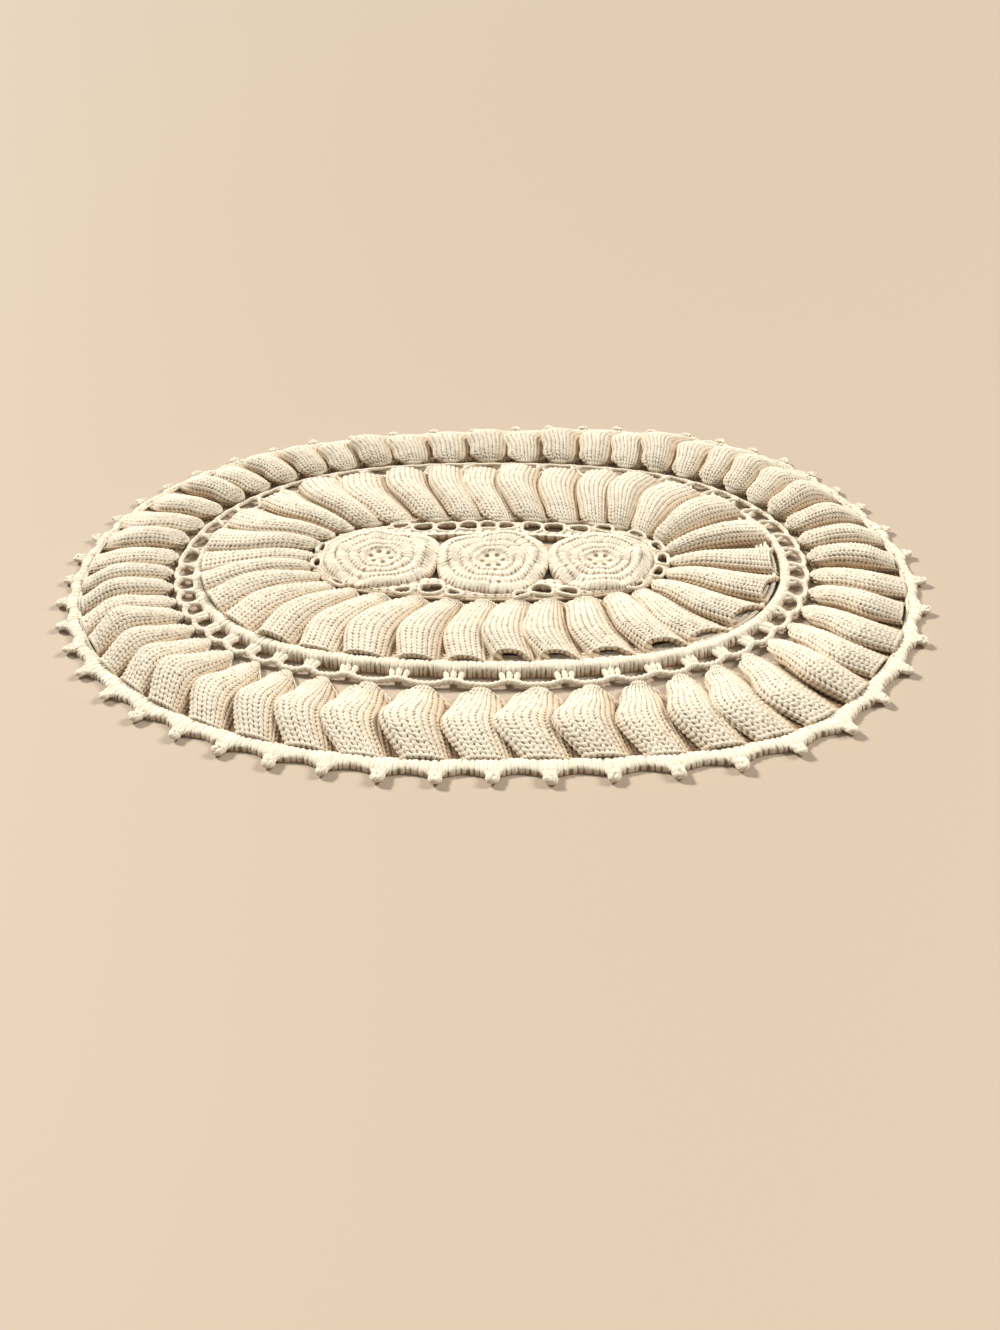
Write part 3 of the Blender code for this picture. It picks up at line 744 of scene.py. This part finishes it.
# Rounds of stitches: from share, to share, stitches round, relief.
ROSE_ROUNDS = ((0.27, 0.40, 24, 0.50), (0.40, 0.58, 36, 0.55), (0.58, 0.785, 56, 0.50), (0.785, 1.00, 72, 0.55))
EYELETS, EYELET_RING, PETALS = 6, 0.185, 5
# The net's points round the plan and outwards, and how square its openings are.
NET_AROUND, NET_LINES, OPENING_POWER = 612, 11, 2.6


def plate(builder, grid, keep, uv, turn, underside):
    """The kept quads of a ring-shaped grid as a closed sheet down to a flat underside."""
    rows, columns = grid.shape[:2]
    low = grid.copy()
    low[..., 2] = underside
    quads = grid_faces(rows, columns, True)
    count = rows * columns
    top = quads[keep.ravel()]
    faces = [top, top[:, ::-1] + count]
    # An edge is on the border where no other kept quad runs along it the other way.
    starts, ends = top.ravel(), np.roll(top, -1, 1).ravel()
    border = ~np.isin(starts * count + ends, ends * count + starts)
    a, b = starts[border], ends[border]
    faces.append(np.stack((b, a, a + count, b + count), -1))
    used, places = np.unique(np.concatenate([f.ravel() for f in faces]), return_inverse=True)
    cuts = np.cumsum([f.size for f in faces])[:-1]
    faces = [part.reshape(-1, 4) for part in np.split(places.ravel(), cuts)]
    points = np.concatenate((grid.reshape(-1, 3), low.reshape(-1, 3)))
    builder.add(points[used], faces, np.tile(uv.reshape(-1, 2), (2, 1))[used], turn)


def petal_creases(z, fine, angles, inward, turn):
    """Each petal overlaps the next in a crease."""
    for petal in range(PETALS):
        joint = 2 * math.pi * (petal + 0.22 * math.sin(7 * petal + 30 * turn)) / PETALS + 9 * turn
        apart = np.angle(np.exp(1j * (angles - joint)))
        crease = np.exp(-((apart / 0.085) ** 2)) + 0.5 * np.clip(1 - apart / 0.5, 0, 1) * (apart > 0)
        z = z - 0.85 * crease * np.clip((fine - 0.60) / 0.15, 0, 1) * inward
    return z


def end_folds(radius, angles, half_length, half_width, turn):
    """The petals stand in a fold at each end of the rose and dip beyond it, where the next rose begins."""
    end = np.abs(radius * np.cos(angles)) / half_length
    middle = np.clip(1.35 - np.abs(radius * np.sin(angles)) / (0.62 * half_width), 0, 1)
    side_fold = 0.95 * np.exp(-(((end - 0.74 - 0.05 * np.sin(3 * angles + 7 * turn)) / 0.085) ** 2))
    return (side_fold - 1.5 * np.clip((end - 0.82) / 0.14, 0, 1)) * middle


def rose_stitches(z, fine, angles, turn):
    """Heights with the rounds of stitches in them, and their stitch coordinates."""
    uv = np.full(z.shape + (2,), 0.5)
    spread = angles + 0.05 * np.sin(6 * angles + 19 * turn) + 0.03 * np.sin(11 * angles)
    for low, high, count, relief in ROSE_ROUNDS:
        within = (fine > low) & (fine <= high)
        inside = np.clip((fine - low) / (high - low), 0, 1)
        phase = spread * count / (2 * math.pi) + 0.35 * inside
        z = z + relief * (wave(phase) - 1) * (np.sin(math.pi * inside) ** 0.5 * within)
        uv = np.where(within[..., None], grid_uv(phase, inside), uv)
    return z, uv


def rose(name, x, y, half_length, half_width, corners, turn):
    """A rose as one sheet of stitches, with eyelets cut through its middle."""
    angles = circle(ROSE_ANGLES)
    uneven = 1 + 0.024 * np.sin(3 * angles + 9 * turn) + 0.018 * np.sin(5 * angles - 14 * turn)
    soft_corners = [0.5 * (corner + 2.2) for corner in corners]
    rim = rose_radius(angles, half_length + 0.7, half_width + 0.6, soft_corners) * uneven
    shares, heights, petals = np.array(ROSE_ROWS).T
    fine = np.unique(np.concatenate((np.linspace(0.005, 1.0, 34), shares[1:])))[:, None]
    roundness = np.clip((fine - 0.30) / 0.45, 0, 1)
    wobble = 1 + 0.035 * np.sin(2 * angles + 31 * turn) + 0.022 * np.sin(5 * angles + 13 * turn)
    radius = fine * (0.5 * (half_length + half_width) * wobble * (1 - roundness) + rim * roundness)
    lift = np.cos(4 * (angles - 3 * turn) + 0.5 * np.sin(angles + 20 * turn))
    z = np.interp(fine, shares, heights) + np.interp(fine, shares, petals) * lift
    inward = np.clip((1.0 - fine) / 0.12, 0, 1)
    z = petal_creases(z, fine, angles, inward, turn)
    z = z + end_folds(radius, angles, half_length, half_width, turn) * inward
    worked = np.clip((fine - 0.26) / 0.1, 0, 1) * inward
    z = z + (0.30 * np.sin(2 * angles + 17 * turn) + 0.25 * np.sin(7 * angles + 5 * turn)) * worked
    z, uv = rose_stitches(z, fine, angles, turn)
    grid = np.stack((x + radius * np.cos(angles), y + radius * np.sin(angles), np.maximum(z, 1.0)), -1)
    # Small openings between the threads of the middle.
    fine_middle = 0.5 * (fine[1:] + fine[:-1])
    from_eye = (angles + math.pi / ROSE_ANGLES) * EYELETS / (2 * math.pi) + 2 * turn
    from_eye = np.abs(from_eye - np.round(from_eye))
    keep = (from_eye / 0.27) ** 2 + ((fine_middle - EYELET_RING) / 0.062) ** 2 > 1
    builder = Builder()
    plate(builder, grid, keep, uv, 1.0, 0.15)
    return builder.make(name + "_petals", name)


def outside_roses(x, y):
    """How far a point lies outside the nearest rose."""
    least = 1000.0
    for _, middle_x, middle_y, half_length, half_width, corners, _ in ROSES:
        toward = math.atan2(y - middle_y, x - middle_x)
        rim = rose_radius(toward, half_length, half_width, corners)
        least = min(least, math.hypot(x - middle_x, y - middle_y) - rim)
    return least


def in_opening(x, y, margin):
    """Whether points lie in an opening of the net, or within a margin of it."""
    inside = np.zeros(np.shape(x), bool)
    for hole_x, hole_y, half_length, half_width, turn in NET_OPENINGS:
        c, s = math.cos(math.radians(turn)), math.sin(math.radians(turn))
        u = np.abs((x - hole_x) * c + (y - hole_y) * s) / (half_length + margin)
        v = np.abs((y - hole_y) * c - (x - hole_x) * s) / (half_width + margin)
        inside |= u**OPENING_POWER + v**OPENING_POWER < 1
    return inside


def net_inner_edge(angles):
    """Where the net ends under the roses, at angles round the plan."""
    inner = []
    for angle in angles:
        reach = 8.5
        while outside_roses(*ring_point(angle, reach)) < -1.2:
            reach += 0.25
        inner.append(ring_point(angle, min(reach, NET_REACH - 1.6)))
    inner = np.array(inner)
    for _ in range(2):
        inner = (np.roll(inner, 1, 0) + 2 * inner + np.roll(inner, -1, 0)) / 4
    return inner


def opening_loop(number, x, y, half_length, half_width, turn):
    """A corded loop round an opening of the net."""
    c, s = math.cos(math.radians(turn)), math.sin(math.radians(turn))
    t = circle(30)
    along = (half_length + 0.70) * np.sign(np.cos(t)) * np.abs(np.cos(t)) ** (2 / OPENING_POWER)
    across = (half_width + 0.70) * np.sign(np.sin(t)) * np.abs(np.sin(t)) ** (2 / OPENING_POWER)
    z = 2.65 + 0.35 * np.sin(2 * t + number)
    return np.column_stack((x + c * along - s * across, y + s * along + c * across, z))


def centre_net():
    """Close stitches with openings between them, a corded loop round each, and a cord along the pleats."""
    builder = Builder()
    angles = angle_of(np.arange(560) / 560, INNER_MEASURE)
    z = 1.15 + 0.2 * np.sin(37 * angles) + 0.1 * np.sin(23 * angles)
    builder.add(*tube(ring_line(angles, NET_REACH - 0.95, z), 0.95, 7, True, twist=2.2, bead=2.2))
    inner = net_inner_edge(angles[::2])
    phase = np.arange(NET_AROUND) / NET_AROUND
    knots = np.arange(len(inner) + 1) / len(inner)
    near = np.stack([np.interp(phase, knots, np.append(line, line[0])) for line in inner.T], -1)
    far = np.stack(ring_point(angle_of(phase, INNER_MEASURE), NET_REACH - 0.8), -1)
    t = np.linspace(0, 1, NET_LINES)[:, None, None]
    flat = near + (far - near) * t
    ribs, rows = NET_AROUND / 4.5, np.arange(NET_LINES)[:, None] / 2.5
    bump = wave(phase * ribs + 0.2 * rows) * (0.5 + 0.5 * wave(rows, 0.7))
    edge = np.clip((t[:, 0] - 0.72) / 0.28, 0, 1)
    grid = np.concatenate((flat, (2.45 - 1.1 * edge + 0.65 * bump)[..., None]), -1)
    centre = 0.25 * (flat[:-1] + flat[1:] + np.roll(flat[:-1], -1, 1) + np.roll(flat[1:], -1, 1))
    keep = ~in_opening(centre[..., 0], centre[..., 1], 0.45)
    plate(builder, grid, keep, grid_uv(phase * ribs, rows), ribs, 0.1)
    for number, opening in enumerate(NET_OPENINGS):
        builder.add(*tube(opening_loop(number, *opening), 0.92, 7, True, twist=2.1, bead=2.1))
    return builder.make("net_threads", "centre_net")


# ---- material
COTTON_SURFACE = {"Roughness": 0.80, "Specular IOR Level": 0.32, "Sheen Weight": 0.20, "Sheen Roughness": 0.45}
# The cotton's two tones, and the colours of the shade painted down in a fold, deep in one, between stitches and
# strands, and in a pit.
COTTON_TONES = (0.800, 0.710, 0.545, 1), (0.870, 0.795, 0.640, 1)
FOLD_SHADE_TONE, DEEP_SHADE_TONE = (0.56, 0.355, 0.170, 1), (0.15, 0.080, 0.035, 1)
GAP_SHADE_TONE, STRAND_SHADE_TONE, PIT_SHADE_TONE = (0.56, 0.385, 0.215, 1), (0.50, 0.330, 0.175, 1), (0.17, 0.095, 0.045, 1)


def cotton_material():
    """Ecru cotton whose stitches part at whole numbers of its stitch coordinates, with shade painted low in each fold
    and in the gaps, creases and pits of its stitches.
    """
    made = bpy.data.materials.new("ecru_cotton")
    made.use_nodes = True
    tree = made.node_tree
    nodes, links = tree.nodes, tree.links

    def plug(socket, value):
        if isinstance(value, bpy.types.NodeSocket):
            links.new(value, socket)
        else:
            socket.default_value = value

    def maths(operation, first, second=0.0, third=0.0, clamp=False):
        node = nodes.new("ShaderNodeMath")
        node.operation = operation
        node.use_clamp = clamp
        for socket, value in zip(node.inputs, (first, second, third)):
            plug(socket, value)
        return node.outputs[0]

    def scaled(value, factor, added, clamp=False):
        return maths("MULTIPLY_ADD", value, factor, added, clamp)

    def noise(scale, detail, roughness=0.5):
        node = nodes.new("ShaderNodeTexNoise")
        plug(node.inputs["Scale"], scale)
        plug(node.inputs["Detail"], detail)
        plug(node.inputs["Roughness"], roughness)
        links.new(coordinates.outputs["Object"], node.inputs["Vector"])
        return node.outputs["Fac"]

    def blend(amount, first, second):
        node = nodes.new("ShaderNodeMix")
        node.data_type = "RGBA"
        plug(node.inputs[0], amount)
        plug(node.inputs[6], first)
        plug(node.inputs[7], second)
        return node.outputs[2]

    shader = nodes["Principled BSDF"]
    for name, value in COTTON_SURFACE.items():
        shader.inputs[name].default_value = value
    coordinates = nodes.new("ShaderNodeTexCoord")
    stitch = nodes.new("ShaderNodeUVMap")
    stitch.uv_map = "stitch"
    split = nodes.new("ShaderNodeSeparateXYZ")
    links.new(stitch.outputs["UV"], split.inputs["Vector"])
    # Noise that makes the shade painted between stitches and strands uneven.
    shade_noise = noise(420.0, 2.0)
    away = []
    for axis, pitch in (("X", RIB_PITCH), ("Y", STITCH_PITCH)):
        wrapped = maths("SUBTRACT", maths("FRACT", maths("ADD", split.outputs[axis], 0.5)), 0.5)
        away.append(maths("MULTIPLY", maths("ABSOLUTE", wrapped), pitch))
    # Painted shade in the gap between stitches, and in the pit where their corners meet.
    nearest = maths("MINIMUM", scaled(away[0], 1.1, 0.04), maths("ADD", away[1], 0.12))
    gap = scaled(nearest, -2.4, scaled(shade_noise, 1.5, 0.15), clamp=True)
    corner = maths("SQRT", maths("ADD", maths("POWER", away[0], 2.0), maths("POWER", away[1], 2.0)))
    pit = scaled(corner, -2.1, scaled(shade_noise, 2.2, 0.15), clamp=True)
    # A fine crease down each stitch parts its two strands, and small specks lie between the plies; shade is painted
    # into both.
    strand = maths("ABSOLUTE", maths("SUBTRACT", maths("FRACT", split.outputs["X"]), 0.5))
    strand = scaled(strand, -9.0, scaled(shade_noise, 1.6, -0.15), clamp=True)
    speck = scaled(noise(1000.0, 2.0, 0.6), 8.0, -4.7, clamp=True)
    fold = nodes.new("ShaderNodeAttribute")
    fold.attribute_name = "fold"
    tone = blend(noise(30.0, 3.0), *COTTON_TONES)
    # Painted shade: down in a fold the cotton turns towards the fold shade colour, and deep in one towards a near
    # black.
    tone = blend(maths("MULTIPLY", fold.outputs["Fac"], 0.92), tone, FOLD_SHADE_TONE)
    deep = scaled(fold.outputs["Fac"], 2.6, -1.50, clamp=True)
    tone = blend(maths("MULTIPLY", deep, 0.92), tone, DEEP_SHADE_TONE)
    # Painted shade in the gaps, creases and specks, then in the pits.
    for mark, share, colour in ((gap, 0.62, GAP_SHADE_TONE), (strand, 0.42, STRAND_SHADE_TONE), (speck, 0.42, STRAND_SHADE_TONE)):
        tone = blend(maths("MULTIPLY", mark, share), tone, colour)
    tone = blend(maths("MULTIPLY", pit, 0.85), tone, PIT_SHADE_TONE)
    links.new(tone, shader.inputs["Base Color"])
    slant = maths("MULTIPLY", split.outputs["X"], 5 * math.pi)
    ply = maths("SINE", scaled(split.outputs["Y"], 4 * math.pi, slant))
    height = scaled(gap, -0.9, scaled(ply, 0.10, maths("MULTIPLY", pit, -0.8)))
    height = scaled(strand, -0.7, scaled(speck, -0.6, height))
    height = scaled(noise(2100.0, 3.0, 0.65), 0.22, height)
    bump = nodes.new("ShaderNodeBump")
    bump.inputs["Strength"].default_value = 0.6
    bump.inputs["Distance"].default_value = 0.00028
    links.new(height, bump.inputs["Height"])
    links.new(bump.outputs["Normal"], shader.inputs["Normal"])
    return made


COTTON = cotton_material()

outer = pleated_piece(
    "outer_pleats_cloth", "outer_pleats", OUTER_SPACING, OUTER_MEASURE, (MESH_OUT + GAP, EDGING_IN + 0.9), outer_ends,
    OUTER_CREST, OUTER_SECTIONS, OUTER_SET_BACK,
)
inner = pleated_piece(
    "inner_pleats_cloth", "inner_pleats", INNER_SPACING, INNER_MEASURE, (NET_REACH - 1.0, BAND_IN + 1.0),
    inner_ends, INNER_CREST, INNER_SECTIONS, INNER_SET_BACK,
)
band = cord_band()
mesh_threads = mesh_round()
edge = edging()
roses = [rose(*row) for row in ROSES]
net = centre_net()

# ---- floor, light and camera
FLOOR_HALF_SIZE, FLOOR_HEIGHT = 9, -0.0002
floor_mesh = bpy.data.meshes.new("floor")
corners = ((-1, -1), (1, -1), (1, 1), (-1, 1))
floor_points = [(x * FLOOR_HALF_SIZE, y * FLOOR_HALF_SIZE, FLOOR_HEIGHT) for x, y in corners]
floor_mesh.from_pydata(floor_points, [], [(0, 1, 2, 3)])
floor = placed("floor", floor_mesh)
floor_material = bpy.data.materials.new("pale_floor")
floor_material.use_nodes = True
floor_shader = floor_material.node_tree.nodes["Principled BSDF"]
floor_shader.inputs["Base Color"].default_value = (0.485, 0.385, 0.282, 1)
floor_shader.inputs["Roughness"].default_value = 0.7
floor_mesh.materials.append(floor_material)


def distant_light(name, source, width, strength, colour):
    """An even light from the direction of source, as wide as width degrees."""
    light = bpy.data.lights.new(name, "SUN")
    light.angle = math.radians(width)
    light.energy = strength
    light.color = colour
    made = placed(name, light)
    made.location = source
    made.rotation_euler = Vector(source).to_track_quat("Z", "Y").to_euler()


distant_light("window", (-2.30, 1.45, 2.15), 11, 4.1, (1.0, 0.985, 0.955))
distant_light("room", (1.9, 0.6, 1.6), 22, 2.6, (1.0, 0.975, 0.94))
distant_light("front", (0.2, -1.6, 1.4), 30, 0.14, (1.0, 0.975, 0.94))
world = bpy.data.worlds.new("studio")
world.use_nodes = True
background = world.node_tree.nodes["Background"]
background.inputs["Color"].default_value = (0.93, 0.95, 1.0, 1)
background.inputs["Strength"].default_value = 0.25
bpy.context.scene.world = world
bpy.context.scene.view_settings.view_transform = "Standard"

# The camera in the photo's pixels, where the frame is 1330 high, and its place in millimetres before it is turned.
FRAME_HEIGHT, FOCAL_LENGTH, HORIZON_ABOVE = 1330, 1100, 828
SENSOR = 36
PITCH, ROLL, HEADING = math.atan(HORIZON_ABOVE / FOCAL_LENGTH), math.radians(1.36), math.radians(-3.65)
CAMERA_PLACE = (3.3, -393.8, 242.4)
right = Vector((1, 0, 0))
down = Vector((0, -math.sin(PITCH), -math.cos(PITCH)))
forward = Vector((0, math.cos(PITCH), -math.sin(PITCH)))
camera_x = math.cos(ROLL) * right + math.sin(ROLL) * down
camera_y = math.sin(ROLL) * right - math.cos(ROLL) * down
turn_back = Matrix.Rotation(-HEADING, 3, "Z")
axes = [turn_back @ axis for axis in (camera_x, camera_y, -forward)]
place = turn_back @ Vector(CAMERA_PLACE) + Vector(SHIFT)
camera_data = bpy.data.cameras.new("camera")
camera_data.lens = SENSOR * FOCAL_LENGTH / FRAME_HEIGHT
camera_data.sensor_width = SENSOR
camera_data.clip_start = 0.01
camera = placed("camera", camera_data)
matrix = Matrix(axes).transposed().to_4x4()
matrix.translation = place * 0.001
camera.matrix_world = matrix
bpy.context.scene.camera = camera
